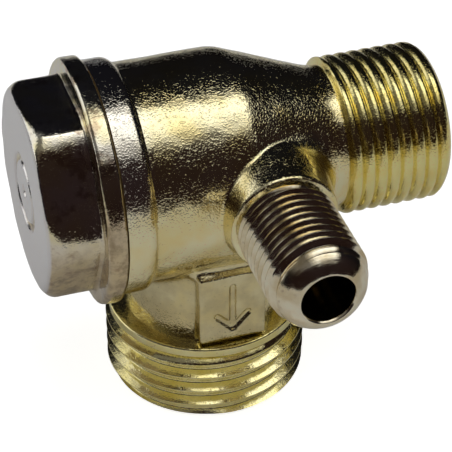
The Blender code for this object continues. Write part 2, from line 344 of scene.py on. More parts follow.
def ripple(points, wavelength, count=18, seed=SEED):
    """A smooth random field between about -1 and 1, the same on every run."""
    random = np.random.RandomState(seed)
    directions = random.normal(size=(count, 3))
    directions /= np.linalg.norm(directions, axis=1)[:, None]
    lengths = wavelength * random.uniform(0.7, 1.5, count)
    phases = random.uniform(0, 2 * math.pi, count)
    waves = np.sin(points @ (2 * math.pi * directions / lengths[:, None]).T + phases)
    return waves.sum(1) / math.sqrt(count)


def surface_net(field, low, high, step):
    """Points and faces of the surface where the field is 0, one point in each crossed cell."""
    axes = [np.arange(a, b + step, step) for a, b in zip(low, high)]
    x, y, z = np.meshgrid(*axes, indexing="ij", sparse=True)
    values = field(x, y, z)
    cells = tuple(n - 1 for n in values.shape)
    sums = np.zeros((cells[0] * cells[1] * cells[2], 3))
    hits = np.zeros(len(sums))
    edges = []
    for axis in range(3):
        near = [slice(None)] * 3
        far = [slice(None)] * 3
        near[axis], far[axis] = slice(0, -1), slice(1, None)
        start, end = values[tuple(near)], values[tuple(far)]
        crossed = np.argwhere((start < 0) != (end < 0))
        others = [a for a in range(3) if a != axis]
        inner = np.all(
            [(crossed[:, a] > 0) & (crossed[:, a] < values.shape[a] - 1) for a in others], axis=0
        )
        crossed = crossed[inner]
        index = tuple(crossed.T)
        share = start[index] / (start[index] - end[index])
        position = crossed.astype(float)
        position[:, axis] += share
        around = []
        for shift_a, shift_b in ((1, 1), (0, 1), (0, 0), (1, 0)):
            cell = crossed.copy()
            cell[:, others[0]] -= shift_a
            cell[:, others[1]] -= shift_b
            flat = np.ravel_multi_index(tuple(cell.T), cells)
            np.add.at(sums, flat, position)
            np.add.at(hits, flat, 1)
            around.append(flat)
        quads = np.stack(around, 1)
        flip = (start[index] < 0) == (axis == 1)
        quads[flip] = quads[flip][:, ::-1]
        edges.append(quads)
    used = np.flatnonzero(hits)
    number = np.full(len(sums), -1)
    number[used] = np.arange(len(used))
    points = sums[used] / hits[used][:, None] * step + np.array(low)
    return points, number[np.concatenate(edges)]


def gradient(field, points, reach=0.02):
    columns = []
    for axis in range(3):
        shift = np.zeros(3)
        shift[axis] = reach
        columns.append(field(*(points + shift).T) - field(*(points - shift).T))
    slope = np.stack(columns, 1)
    return slope / np.maximum(np.linalg.norm(slope, axis=1), 1e-9)[:, None]


def solid(name, field, low, high, step, unevenness=()):
    """A closed mesh of the field's surface, with the uneven skin of a casting: unevenness is
    pairs of height and wavelength."""
    points, quads = surface_net(field, low, high, step)
    for _ in range(2):
        points = points - gradient(field, points) * field(*points.T)[:, None]
    normals = gradient(field, points)
    for number, (height, wavelength) in enumerate(unevenness):
        heights = height * ripple(points, wavelength, seed=SEED + number)
        points = points + normals * heights[:, None]
    obj = new_piece(name, points, quads.tolist())
    tidy_mesh(obj)
    return obj


# ---------------------------------------------------------------- threads


def thread_rows(crest, root, edge):
    """One turn of a thread's outline as (phase, height) points, from crest to crest. crest
    and root are the half widths of its flats and edge is how far each corner is rounded, all
    as shares of the pitch; height is 1 at the crest and 0 at the root."""
    flats = [(0.0, 1.0), (crest, 1.0), (0.5 - root, 0.0), (0.5, 0.0)]
    half = soften(flats, [0, edge, edge, 0])
    back = [(1.0 - phase, height) for phase, height in half[-2:0:-1]]
    return half + back


def lobed_rows(power, rows):
    """One turn of a worn or plated thread: rounded lobes that meet in narrow grooves."""
    phases = np.arange(rows) / rows
    height = 1 - (2 * np.abs(phases - np.round(phases))) ** power
    return list(zip(phases, height))


def threaded(name, frame, span, crest_r, depth, pitch, first, limit, inner, outline, steps):
    """A port's turned solid with a right-hand helical thread, over a span (start, end) along
    the frame's axis. limit(along) gives the least and the greatest radius, and inner is the
    profile that runs from the thread's end round the end face and through the bore."""
    start, end = span
    angles = np.linspace(0, 2 * math.pi, steps, endpoint=False)
    turn = pitch * angles / (2 * math.pi)
    rows = len(outline)
    before = int(math.ceil((first - start) / pitch)) + 1
    after = int(math.ceil((end - first) / pitch)) + 1
    grid = []
    for k in range(-before, after):
        for phase, height in outline:
            along = np.clip(first + (k + phase) * pitch + turn, start, end)
            low, high = limit(along)
            radius = np.maximum(np.minimum(crest_r - depth * (1 - height), high), low)
            grid.append(ring_points(along, radius, angles, frame))
    count = len(grid)
    faces = []
    for i in range(count - 1):
        for k in range(steps - 1):
            corner = i * steps + k
            faces.append((corner, corner + 1, corner + steps + 1, corner + steps))
        if i + rows + 1 < count:
            corner = i * steps + steps - 1
            seam = (i + rows) * steps
            faces.append((corner, seam, seam + steps, corner + steps))
    points = np.concatenate(grid)
    previous = [(count - 1) * steps + k for k in range(steps)]
    for along, radius in inner:
        ring = ring_points(np.full(steps, along), np.full(steps, radius), angles, frame)
        current = [len(points) + k for k in range(steps)]
        points = np.concatenate([points, ring])
        faces += [
            (previous[k], previous[k - 1], current[k - 1], current[k]) for k in range(steps)
        ]
        previous = current
    faces += [(previous[k], previous[k - 1], (k - 1) % steps, k) for k in range(steps)]
    obj = new_piece(name, points, faces)
    tidy_mesh(obj, merge=0.0005)
    return shade(obj)


def port_thread(name, frame, span, crest_r, depth, pitch, first, rise, last, root, tip, inner,
                outline, steps=STEPS):
    """A threaded port. The thread rises from the root radius over rise (from, to), and from
    last on its crests stay inside tip, a list of (along, radius) points. Both ends of the span
    are plain circles, so that the mesh closes on them."""
    start, end = span
    tip_along, tip_radius = zip(*tip)

    def limit(along):
        high = root + (crest_r - root) * ramp(along, *rise)
        high = np.where(along > last, np.interp(along, tip_along, tip_radius), high)
        low = np.where(along < first - 0.6 * pitch, root, 0.0)
        low = np.where((along <= start) | (along >= end), high, low)
        return np.minimum(low, high), high

    return threaded(
        name, frame, span, crest_r, depth, pitch, first, limit, inner, outline, steps
    )


# ---------------------------------------------------------------- the body


def casting_field(x, y, z):
    """Barrel with collar and cone, neck, unloader boss and pad, with cast fillets. A web runs
    from the boss to the cone, and the pad's top blends softly into the neck."""
    across = np.sqrt(y**2 + (z - AXIS_Z) ** 2)
    slope = (BARREL_R - INLET_NECK_R) / (CONE_END_X - CONE_START_X)
    cone = (across - BARREL_R + slope * (x - CONE_START_X)) / math.sqrt(1 + slope**2)
    barrel = smooth_max(across - BARREL_R, cone, CONE_EDGE)
    barrel = smooth_min(barrel, across - INLET_NECK_R, INLET_FILLET)
    barrel = smooth_max(barrel, BARREL_START_X - x, BARREL_EDGE)
    barrel = np.maximum(barrel, x - (INLET_START_X + MACHINING_ALLOWANCE))
    collar = smooth_max(across - COLLAR_R, x - COLLAR_END_X, COLLAR_ROUNDING)
    collar = np.maximum(collar, MOUTH_X - MACHINING_ALLOWANCE - x)
    body = smooth_min(barrel, collar, COLLAR_FILLET)
    neck = np.sqrt(x**2 + y**2) - NECK_R
    neck = np.maximum(np.maximum(neck, z - AXIS_Z), NECK_FOOT_Z - MACHINING_ALLOWANCE - z)
    body = smooth_min(body, neck, NECK_FILLET)
    taper = (BOSS_R - BOSS_TIP_R) * ramp(-y, BOSS_TAPER_Y, -BOSS_END_Y)
    boss = np.sqrt((x - BOSS_X) ** 2 + (z - AXIS_Z) ** 2) - BOSS_R + taper
    boss = smooth_max(boss, BOSS_END_Y - 0.05 - y, BOSS_ROUNDING)
    boss = np.maximum(boss, y)
    web = BOSS_WEB * ramp(x, BOSS_X + 0.5, BOSS_X + 5.5)
    body = smooth_min(body, boss, BOSS_FILLET + web)
    pad = rounded_block(x, y, z, PAD_CENTRE, PAD_HALF, PAD_ROUNDING)
    pad_top = PAD_CENTRE[2] + PAD_HALF[2]
    blend = PAD_TOP_FILLET * ramp(z, pad_top - 1.2, pad_top)
    body = smooth_min(body, pad, PAD_FILLET + blend)
    return smooth_max(body, -arrow_field(x, y, z), ARROW_EDGE)


def arrow_field(x, y, z):
    """A plain arrow engraved in the pad, pointing the way air leaves, to the tank."""
    middle, face_y, height = PAD_CENTRE[0], PAD_CENTRE[1] - PAD_HALF[1], PAD_CENTRE[2]
    tip = (middle, face_y, height - ARROW_HALF_LENGTH)
    starts = [
        (middle, face_y, height + ARROW_HALF_LENGTH),
        (middle - ARROW_BARB[0], face_y, height - ARROW_BARB[1]),
        (middle + ARROW_BARB[0], face_y, height - ARROW_BARB[1]),
    ]
    return np.minimum.reduce([capsule(x, y, z, start, tip, ARROW_STROKE_R) for start in starts])


def main_bore_profile():
    """Cap bore with its chamfered mouth, chamber with the raised seat, and inlet bore."""
    shelf = [
        (SEAT_SHELF_X - 1, CHAMBER_R),
        (SEAT_SHELF_X, CHAMBER_R),
        (SEAT_SHELF_X, SEAT_LIP_R + 0.2),
    ]
    lip = [
        (SEAT_SHELF_X, SEAT_LIP_R),
        (SEAT_LIP_X, SEAT_LIP_R - 0.25),
        (SEAT_LIP_X, INLET_BORE_R + 0.5),
    ]
    return [
        (MOUTH_X - 1.0, 0),
        (MOUTH_X - 1.0, CAP_BORE_R + 0.3),
        (MOUTH_X, CAP_BORE_R + 0.3),
        (MOUTH_X + 0.3, CAP_BORE_R),
        (CAP_BORE_END_X, CAP_BORE_R),
        (CAP_BORE_END_X, CHAMBER_R),
        *soften(shelf, 0.5),
        *soften(lip, 0.2),
        (SEAT_LIP_X, INLET_BORE_R + 0.4),
        (SEAT_LIP_X + 0.5, INLET_BORE_R),
        (INLET_START_X + 2, INLET_BORE_R),
        (INLET_START_X + 2, 0),
    ]


def casting():
    """The cast body without its ports: bored, then cut back at each machined face."""
    low = (MOUTH_X - 1.4, BOSS_END_Y - 1.0, NECK_FOOT_Z - 1.4)
    high = (INLET_START_X + 1.4, COLLAR_R + 1.0, AXIS_Z + COLLAR_R + 1.0)
    body = solid("body_casting", casting_field, low, high, CASTING_STEP, CASTING_SKIN)
    tank_bore = [
        (0, 0),
        (0, TANK_BORE_R),
        (-TANK_BORE_TOP_Z + 0.5, TANK_BORE_R),
        (-TANK_BORE_TOP_Z, TANK_BORE_R - 0.5),
        (-TANK_BORE_TOP_Z, 0),
    ]
    unloader_bore = [(1.5, 0), (1.5, UNLOADER_BORE_R), (20, UNLOADER_BORE_R), (20, 0)]
    far = 40
    cutters = [
        turned("main_bore", main_bore_profile(), MAIN, INNER_STEPS),
        turned("tank_bore", tank_bore, TANK, INNER_STEPS),
        turned("unloader_bore", unloader_bore, UNLOADER, INNER_STEPS),
        box("cut_mouth", (-far, -far, -far), (MOUTH_X, far, far + AXIS_Z)),
        box("cut_inlet", (INLET_START_X, -far, -far), (far, far, far + AXIS_Z)),
        box("cut_foot", (-far, -far, -far), (far, far, NECK_FOOT_Z)),
        box("cut_boss", (-far, -far, -far), (far, BOSS_END_Y, far + AXIS_Z)),
    ]
    return shade(cut(body, cutters))


def inlet_port():
    """The side port that the compressor's delivery pipe screws on to, with a worn thread."""
    first, rise, last = 13.03, (INLET_START_X, INLET_START_X + 0.4), 22.3
    tip = [(last, INLET_CREST_R), (23.0, 8.05), (23.3, 7.85), (23.6, 7.5), (INLET_END_X, 7.15)]
    inner = soften(
        [
            (INLET_END_X, 7.1),
            (INLET_END_X, INLET_BORE_R + 0.4),
            (INLET_END_X - 0.4, INLET_BORE_R),
            (INLET_START_X, INLET_BORE_R),
        ],
        0.25,
    )
    return port_thread(
        "inlet_port_thread", MAIN, (INLET_START_X, INLET_END_X), INLET_CREST_R, INLET_DEPTH,
        INLET_PITCH, first, rise, last, INLET_NECK_R, tip, inner, lobed_rows(2.1, 18),
    )


def tank_port():
    """The bottom port with its thread, and the rim round the foot of the neck above it."""
    start, end = -NECK_FOOT_Z, 0.0
    first, rise, last = -6.35, (-8.7, -6.7), -1.2
    tip = [(last, TANK_CREST_R), (-0.5, 10.42), (-0.22, 10.28), (-0.06, 10.08), (end, 9.9)]
    bore = [
        (end, 9.85),
        (end, TANK_BORE_R + 0.5),
        (end - 0.5, TANK_BORE_R),
        (start, TANK_BORE_R),
    ]
    rim = [
        (start, TANK_BORE_R + 0.1),
        (start, TANK_RIM_R),
        (start + 1.0, TANK_RIM_R),
        (start + 1.05, 9.9),
    ]
    inner = [*soften(bore, 0.3), *soften(rim, 0.3)]
    return port_thread(
        "tank_port_thread", TANK, (start + 1.1, end), TANK_CREST_R, TANK_DEPTH, TANK_PITCH,
        first, rise, last, TANK_ROOT_R, tip, inner, thread_rows(0.04, 0.24, 0.09),
    )


def unloader_port():
    """The small front port, whose end is rounded to a nose."""
    start, end = -BOSS_END_Y, -UNLOADER_END_Y
    first, rise, last = 13.75, (12.7, 13.5), 22.1
    tip = [
        (last, UNLOADER_CREST_R), (22.4, 4.72), (22.9, 4.6), (23.4, 4.4), (23.8, 4.16),
        (24.15, 3.88), (24.45, 3.56), (24.7, 3.24), (24.85, 3.0), (end, 2.88),
    ]
    inner = soften(
        [(end, 2.85), (end, 2.72), (end - 0.25, UNLOADER_BORE_R), (start, UNLOADER_BORE_R)], 0.12
    )
    return port_thread(
        "unloader_port_thread", UNLOADER, (start, end), UNLOADER_CREST_R, UNLOADER_DEPTH,
        UNLOADER_PITCH, first, rise, last, UNLOADER_ROOT_R, tip, inner,
        thread_rows(0.05, 0.09, 0.03), steps=UNLOADER_STEPS,
    )


# ---------------------------------------------------------------- the cap


def cap_field(x, y, z):
    """Forged hexagon with rounded corners and a rounded end, on its flange. A plain ring with
    a centre dimple is sunk in the end face."""
    across = np.sqrt(y**2 + (z - AXIS_Z) ** 2)
    hexagon = None
    for k in range(6):
        angle = HEX_TILT + k * math.pi / 3
        flat = -y * math.cos(angle) + (z - AXIS_Z) * math.sin(angle) - HEX_FLATS / 2
        hexagon = flat if hexagon is None else np.maximum(hexagon, flat)
    hexagon = smooth_max(hexagon, across - HEX_CORNER_R, HEX_CORNER_EDGE)
    cone = (across - HEX_CHAMFER_R + (HEX_END_X - x + HEX_CHAMFER_LENGTH)) * math.sqrt(0.5)
    head = smooth_max(hexagon, cone, HEX_CHAMFER_EDGE)
    head = smooth_max(head, HEX_END_X - x, HEX_END_EDGE)
    head = np.maximum(head, x - FLANGE_X[1] + 0.1)
    flange = smooth_max(across - FLANGE_R, FLANGE_X[0] - x, FLANGE_EDGES[0])
    flange = smooth_max(flange, x - FLANGE_X[1], FLANGE_EDGES[1])
    cap = smooth_min(head, flange, FLANGE_FILLET)
    ring = np.sqrt((across - FACE_RING_R) ** 2 + (x - HEX_END_X + 0.15) ** 2) - 0.5
    dimple = np.sqrt(across**2 + (x - HEX_END_X + 0.5) ** 2) - 0.9
    return smooth_max(smooth_max(cap, -ring, FACE_MARK_EDGE), -dimple, FACE_MARK_EDGE)


def cap_head():
    """The cap's hexagon and flange, hollowed round the guide for the piston's stem."""
    reach = FLANGE_R + 1.0
    low = (HEX_END_X - 1.0, -reach, AXIS_Z - reach)
    high = (FLANGE_X[1] + 1.0, reach, AXIS_Z + reach)
    head = solid("cap_head", cap_field, low, high, CAP_STEP, CAP_SKIN)
    hollow = [
        (GUIDE_BORE_END_X - 0.6, 0),
        (GUIDE_BORE_END_X, GUIDE_BORE_R),
        (GUIDE_END_X, GUIDE_BORE_R),
        (GUIDE_END_X, GUIDE_R - 0.2),
        (GUIDE_END_X - 0.2, GUIDE_R),
        (CAP_FLOOR_X, GUIDE_R),
        (CAP_FLOOR_X, CAP_INNER_R),
        (FLANGE_X[1] + 2, CAP_INNER_R),
        (FLANGE_X[1] + 2, 0),
    ]
    return shade(cut(head, [turned("cap_hollow", hollow, MAIN, INNER_STEPS)]))


def cap_skirt():
    """The cap's threaded skirt, inside the body."""
    start, end = FLANGE_X[1] - 0.2, CAP_SKIRT_END_X
    first, rise, last = start + 1.4, (start + 0.1, start + 1.2), end - 0.9
    root = CAP_THREAD_R - CAP_THREAD_DEPTH
    tip = [(last, CAP_THREAD_R), (end, root + 0.05)]
    inner = [
        (end, root),
        (end, CAP_INNER_R + 0.3),
        (end - 0.3, CAP_INNER_R),
        (start, CAP_INNER_R),
    ]
    return port_thread(
        "cap_skirt_thread", MAIN, (start, end), CAP_THREAD_R, CAP_THREAD_DEPTH, CAP_THREAD_PITCH,
        first, rise, last, root, tip, inner, thread_rows(0.06, 0.12, 0.07), steps=INNER_STEPS,
    )


def gasket():
    """Flat ring between the cap's flange and the collar."""
    x0, x1 = FLANGE_X[1] + 0.01, MOUTH_X - 0.01
    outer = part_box("cap_gasket")[1].y / MM - 0.02
    corners = [(x1, outer), (x0, outer), (x0, GASKET_HOLE_R), (x1, GASKET_HOLE_R)]
    profile = soften(corners, 0.06, 3, closed=True)
    return shade(turned("cap_gasket_ring", profile, MAIN, STEPS, ring=True))


# ---------------------------------------------------------------- inside pieces


def along_x(node):
    """Where a CAD node starts and ends along X, and its radius, in millimetres."""
    low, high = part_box(node)
    return low.x / MM, high.x / MM, high.y / MM


def piston():
    """Plate with a screw hole, and a grooved stem that runs in the cap's guide."""
    start, _, plate_r = along_x("piston")
    back, front = -4.5, -3.0
    hole_end = -6.9
    stem_r, groove_r = 2.2, 2.0
    corners = [
        # along, radius, rounding
        (hole_end, 0, 0),
        (hole_end, SCREW_HOLE_R, 0),
        (front, SCREW_HOLE_R, 0.1),
        (front, plate_r - 0.5, 0.15),
        (front - 0.3, plate_r, 0.15),
        (back, plate_r, 0.2),
        (back, 4.3, 0),
        (back, 3.9, 0),
        (back, stem_r, 0.3),
        (-8.6, stem_r, 0.1),
        (-8.8, groove_r, 0.1),
        (-9.2, groove_r, 0.1),
        (-9.4, stem_r, 0.1),
        (start, stem_r, 0.45),
        (start, 0, 0),
    ]
    profile = soften([corner[:2] for corner in corners], [corner[2] for corner in corners])
    return shade(turned("piston_turned", profile, MAIN, INNER_STEPS))


def seal_disc():
    """Rubber disc with the shallow groove that the seat's lip presses into it."""
    x0, x1, radius = along_x("seal_disc")
    groove_r, groove_x = 5.75, x1 - 0.12
    corners = [
        # along, radius, rounding
        (x1, SCREW_HOLE_R, 0.05),
        (x0, SCREW_HOLE_R, 0.05),
        (x0, radius, 0.25),
        (x1, radius, 0.25),
        (x1, groove_r + 0.35, 0.08),
        (groove_x, groove_r + 0.2, 0.08),
        (groove_x, groove_r - 0.2, 0.08),
        (x1, groove_r - 0.35, 0.08),
    ]
    outline, roundings = [corner[:2] for corner in corners], [corner[2] for corner in corners]
    profile = soften(outline, roundings, 3, closed=True)
    return shade(turned("seal_disc_moulded", profile, MAIN, INNER_STEPS, ring=True))


def disc_washer():
    """Flat washer with its front rim rounded more than its back."""
    x0, x1, radius = along_x("disc_washer")
    corners = [(x1, SCREW_HOLE_R), (x0, SCREW_HOLE_R), (x0, radius), (x1, radius)]
    profile = soften(corners, [0.05, 0.05, 0.08, 0.22], 3, closed=True)
    return shade(turned("disc_washer_pressed", profile, MAIN, INNER_STEPS, ring=True))


def disc_screw():
    """Screw with a domed, slotted head. Plain rings stand for its hidden thread."""
    start, end, head_r = along_x("disc_screw")
    under = -0.1
    shank_r, pitch = 1.0, 0.4
    dome_r, dome_edge = head_r * 0.86, 1.2
    profile = [(end, 0)]
    for angle in (0.3, 0.6, 0.9, dome_edge):
        drop = 0.35 * (1 - math.cos(angle))
        profile.append((end - drop, dome_r * math.sin(angle) / math.sin(dome_edge)))
    rim = [(end - 0.3, head_r * 0.93), (end - 0.5, head_r), (under, head_r), (under, shank_r)]
    profile += soften(rim, 0.12)
    turns = int((under - 0.3 - start) / pitch)
    for k in range(turns):
        top = under - 0.3 - k * pitch
        profile += [(top, shank_r - 0.18), (top - pitch / 2, shank_r)]
    profile += [(start + 0.1, shank_r - 0.25), (start, shank_r - 0.4), (start, 0)]
    screw = turned("disc_screw_slotted", profile, MAIN, 64)
    slot = box("slot", (end - 0.55, -3, AXIS_Z - 0.3), (end + 1, 3, AXIS_Z + 0.3))
    return shade(cut(screw, [slot]))


def return_spring():
    """Round wire wound with a closed, ground turn at each end."""
    x0, x1, _ = along_x("return_spring")
    wire, coil_r, closed_pitch, open_turns = 0.34, 5.0, 0.95, 4.5
    start, end = x0 + wire + 0.01, x1 - wire - 0.01
    turns = open_turns + 2
    open_pitch = (end - start - 2 * closed_pitch) / open_turns
    per_turn, around = 56, 14
    count = int(turns * per_turn) + 1
    vertices = []
    for k in range(count):
        turn = turns * k / (count - 1)
        opened = min(max(turn - 1, 0), open_turns)
        along = start + opened * open_pitch + (turn - opened) * closed_pitch
        angle = 2 * math.pi * turn
        for j in range(around):
            side = 2 * math.pi * j / around
            radius = coil_r + wire * math.cos(side)
            x = along + wire * math.sin(side)
            vertices.append((x, radius * math.cos(angle), AXIS_Z + radius * math.sin(angle)))
    faces = [list(range(around))[::-1], [(count - 1) * around + j for j in range(around)]]
    for k in range(count - 1):
        here, there = k * around, (k + 1) * around
        for j in range(around):
            n = (j + 1) % around
            faces.append((here + j, here + n, there + n, there + j))
    obj = new_piece("return_spring_wire", vertices, faces)
    tidy_mesh(obj)
    return shade(obj)


# ---------------------------------------------------------------- materials


class Nodes:
    """A short way to write the node tree of a material or of the world. Sizes are in
    millimetres, and a value is either a number, a colour or another node's output."""

    def __init__(self, owner, coordinates="Object"):
        owner.use_nodes = True
        self.owner = owner
        self.tree = owner.node_tree
        self.position = self.add("ShaderNodeTexCoord").outputs[coordinates]

    def add(self, kind, **settings):
        node = self.tree.nodes.new(kind)
        for key, value in settings.items():
            setattr(node, key, value)
        return node

    def link(self, source, target):
        if isinstance(source, (int, float, tuple)):
            target.default_value = source
        else:
            self.tree.links.new(source, target)

    def stretch(self, factors):
        """The position stretched along each axis, so that noise becomes streaks."""
        node = self.add("ShaderNodeVectorMath", operation="MULTIPLY")
        self.link(self.position, node.inputs[0])
        node.inputs[1].default_value = factors
        return node.outputs[0]

    def noise(self, size_mm, detail=2.0, rough=0.5, vector=None):
        node = self.add("ShaderNodeTexNoise")
        self.link(vector or self.position, node.inputs["Vector"])
        node.inputs["Scale"].default_value = 1 / (size_mm * MM)
        node.inputs["Detail"].default_value = detail
        node.inputs["Roughness"].default_value = rough
        return node.outputs["Fac"]

    def remap(self, value, low, high, to_low=0.0, to_high=1.0):
        node = self.add("ShaderNodeMapRange", interpolation_type="SMOOTHSTEP")
        self.link(value, node.inputs["Value"])
        numbers = {"From Min": low, "From Max": high, "To Min": to_low, "To Max": to_high}
        for name, number in numbers.items():
            node.inputs[name].default_value = number
        return node.outputs["Result"]

    def math(self, operation, a, b=0.0):
        node = self.add("ShaderNodeMath", operation=operation)
        self.link(a, node.inputs[0])
        self.link(b, node.inputs[1])
        return node.outputs[0]

    def mix(self, share, a, b):
        node = self.add("ShaderNodeMix", data_type="RGBA")
        self.link(share, node.inputs["Factor"])
        self.link(a, node.inputs[6])
        self.link(b, node.inputs[7])
        return node.outputs[2]

    def part(self, axis):
        node = self.add("ShaderNodeSeparateXYZ")
        self.link(self.position, node.inputs[0])
        return node.outputs[axis]

    def bump(self, height, height_mm, below=None):
        node = self.add("ShaderNodeBump")
        node.inputs["Distance"].default_value = height_mm * MM
        self.link(height, node.inputs["Height"])
        if below:
            self.link(below, node.inputs["Normal"])
        return node.outputs["Normal"]

    def finish(self, colour, roughness, normal=None, metallic=1.0):
        shader = self.tree.nodes["Principled BSDF"]
        self.link(colour, shader.inputs["Base Color"])
        self.link(roughness, shader.inputs["Roughness"])
        shader.inputs["Metallic"].default_value = metallic
        if normal:
            self.link(normal, shader.inputs["Normal"])
        return self.owner


def material_nodes(name):
    return Nodes(bpy.data.materials.new(name))


GOLD = (0.88, 0.80, 0.50, 1)
DEEP_GOLD = (0.84, 0.71, 0.34, 1)
PALE_GOLD = (0.86, 0.81, 0.68, 1)
RICH_GOLD = (0.88, 0.80, 0.43, 1)
RICH_DARK = (0.82, 0.72, 0.30, 1)
GREY_GOLD = (0.72, 0.67, 0.58, 1)
UNLOADER_TONE = (0.84, 0.77, 0.58, 1)
UNLOADER_DARK = (0.66, 0.54, 0.32, 1)
NICKEL = (0.80, 0.79, 0.80, 1)
STAIN = (0.30, 0.17, 0.10, 1)
# The next two tones paint the cap's lower half darker: partly stain and grime, partly painted
# shade.
STAINED_SHADED_GOLD = (0.74, 0.60, 0.36, 1)
GRIME_AND_SHADE = (0.34, 0.25, 0.15, 1)
# Painted shade: the darker tone painted low on the casting, near the floor.
SHADED_GOLD = (0.58, 0.49, 0.27, 1)
INLET_GOLD = (0.90, 0.80, 0.36, 1)
INLET_DARK = (0.86, 0.71, 0.24, 1)
RAW_BRASS = (0.80, 0.58, 0.25, 1)
BROWN_BRASS = (0.45, 0.30, 0.14, 1)
ZINC = (0.66, 0.66, 0.64, 1)
DULL_ZINC = (0.48, 0.47, 0.40, 1)
STEEL = (0.50, 0.50, 0.51, 1)
DARK_STEEL = (0.30, 0.29, 0.29, 1)
BLACK_RUBBER = (0.022, 0.022, 0.024, 1)
RUBBER_DUST = (0.055, 0.052, 0.048, 1)
FIBRE = (0.30, 0.20, 0.08, 1)
PALE_FIBRE = (0.42, 0.30, 0.13, 1)


def cast_plating(name, light, dark, grain_mm, stain_and_shade=0.0, face_x=None, pale_highlight_x=None, rich_z=None,
                 shade_below_z=None):
    """Bright plating over a grainy casting: soft waves, fine raised grains, faint blotches.
    The tone turns paler on the upper side left of pale_highlight_x, a painted highlight tone so
    that the highlight there reads white; deeper below rich_z; darker in blotches below
    shade_below_z, a painted shade near the floor; and to plain nickel on the end face at face_x.
    With stain_and_shade there are random brown stains, and the lower half and the flange's lower
    part are painted darker and browner, partly as grime and partly as painted shade."""
    n = material_nodes(name)
    colour = n.mix(n.remap(n.noise(3.2, 3), 0.35, 0.68), light, dark)
    if pale_highlight_x is not None:
        # Painted highlight tone: the upper side is tinted paler, so that its highlight reads
        # white.
        upper = n.remap(n.part("Z"), (AXIS_Z + 1.0) * MM, (AXIS_Z + 6.0) * MM)
        left = n.remap(n.part("X"), pale_highlight_x * MM, (pale_highlight_x - 2.5) * MM)
        colour = n.mix(n.math("MULTIPLY", left, upper), colour, PALE_GOLD)
    if rich_z is not None:
        colour = n.mix(n.remap(n.part("Z"), rich_z * MM, (rich_z - 1.0) * MM), colour, RICH_GOLD)
    if shade_below_z is not None:
        # Painted shade: a blotchy darker tone towards the bottom, standing in for the shade near
        # the floor; the worn noise only breaks it into blotches.
        below = n.remap(n.part("Z"), (shade_below_z + 2.0) * MM, (shade_below_z - 2.0) * MM)
        worn = n.remap(n.noise(2.2, 4, 0.6), 0.35, 0.65, 0.40, 0.85)
        colour = n.mix(n.math("MULTIPLY", below, worn), colour, SHADED_GOLD)
    if stain_and_shade:
        # Partly painted shade: the lower half and the flange's lower part are painted darker and
        # browner, standing in for the shaded floor that they mirror; the grime noise over it is
        # partly real grime.
        lower = n.remap(n.part("Z"), (AXIS_Z + 3.5) * MM, (AXIS_Z - 5.0) * MM)
        flange = n.remap(n.part("X"), (FLANGE_X[0] - 0.3) * MM, (FLANGE_X[0] + 0.2) * MM)
        flange_low = n.remap(n.part("Z"), (AXIS_Z + 7.0) * MM, (AXIS_Z + 3.0) * MM)
        lower = n.math("MAXIMUM", lower, n.math("MULTIPLY", flange, flange_low))
        colour = n.mix(n.math("MULTIPLY", lower, 0.75), colour, STAINED_SHADED_GOLD)
        grime_and_shade = n.math("MULTIPLY", lower, n.remap(n.noise(1.5, 5, 0.7), 0.40, 0.68, 0.30, 0.90))
        colour = n.mix(grime_and_shade, colour, GRIME_AND_SHADE)
        patches = n.math("MULTIPLY", n.remap(n.noise(2.6, 4, 0.65), 0.52, 0.66), stain_and_shade)
        colour = n.mix(patches, colour, STAIN)
    if face_x is not None:
        face = n.remap(n.part("X"), (face_x + 0.35) * MM, (face_x + 0.1) * MM)
        colour = n.mix(n.math("MULTIPLY", face, 0.85), colour, NICKEL)
    waves = n.bump(n.noise(1.3, 2, 0.5), grain_mm)
    grains = n.bump(n.remap(n.noise(0.19, 1, 0.5), 0.46, 0.70), grain_mm, waves)
    pips = n.remap(n.noise(0.34, 1, 0.5), 0.60, 0.72)
    normal = n.bump(pips, 1.3 * grain_mm, grains)
    roughness = n.remap(n.noise(0.6, 3), 0.3, 0.75, 0.08, 0.15)
    return n.finish(colour, roughness, normal)


def turned_plating(name, axis, light, dark, grain_mm, wave_mm=0.03):
    """Bright plating over turned metal, with fine lines round the given axis."""
    n = material_nodes(name)
    factors = [0.12, 0.12, 0.12]
    factors["XYZ".index(axis)] = 1.0
    lines = n.noise(0.16, 3, 0.6, n.stretch(factors))
    colour = n.mix(n.remap(n.noise(2.2, 3), 0.35, 0.7), light, dark)
    dirt = n.math("MULTIPLY", n.remap(n.noise(0.8, 4, 0.7), 0.60, 0.72), 0.4)
    colour = n.mix(dirt, colour, STAIN)
    waves = n.bump(n.noise(1.0, 3), wave_mm)
    grains = n.bump(n.remap(n.noise(0.17, 1, 0.5), 0.50, 0.72), grain_mm, waves)
    normal = n.bump(lines, 0.012, grains)
    roughness = n.remap(n.noise(0.5, 2), 0.3, 0.7, 0.07, 0.16)
    return n.finish(colour, roughness, normal)


def plain_metal(name, colour, axis, rough_low, rough_high, tarnish):
    """Bare turned or drawn metal with fine lines round the given axis."""
    n = material_nodes(name)
    factors = [0.1, 0.1, 0.1]
    factors["XYZ".index(axis)] = 1.0
    lines = n.noise(0.12, 3, 0.6, n.stretch(factors))
    tint = n.math("MULTIPLY", n.remap(n.noise(1.2, 4, 0.6), 0.45, 0.75), 0.5)
    shown = n.mix(tint, colour, tarnish)
    roughness = n.remap(n.noise(0.4, 3), 0.3, 0.7, rough_low, rough_high)
    return n.finish(shown, roughness, n.bump(lines, 0.01))


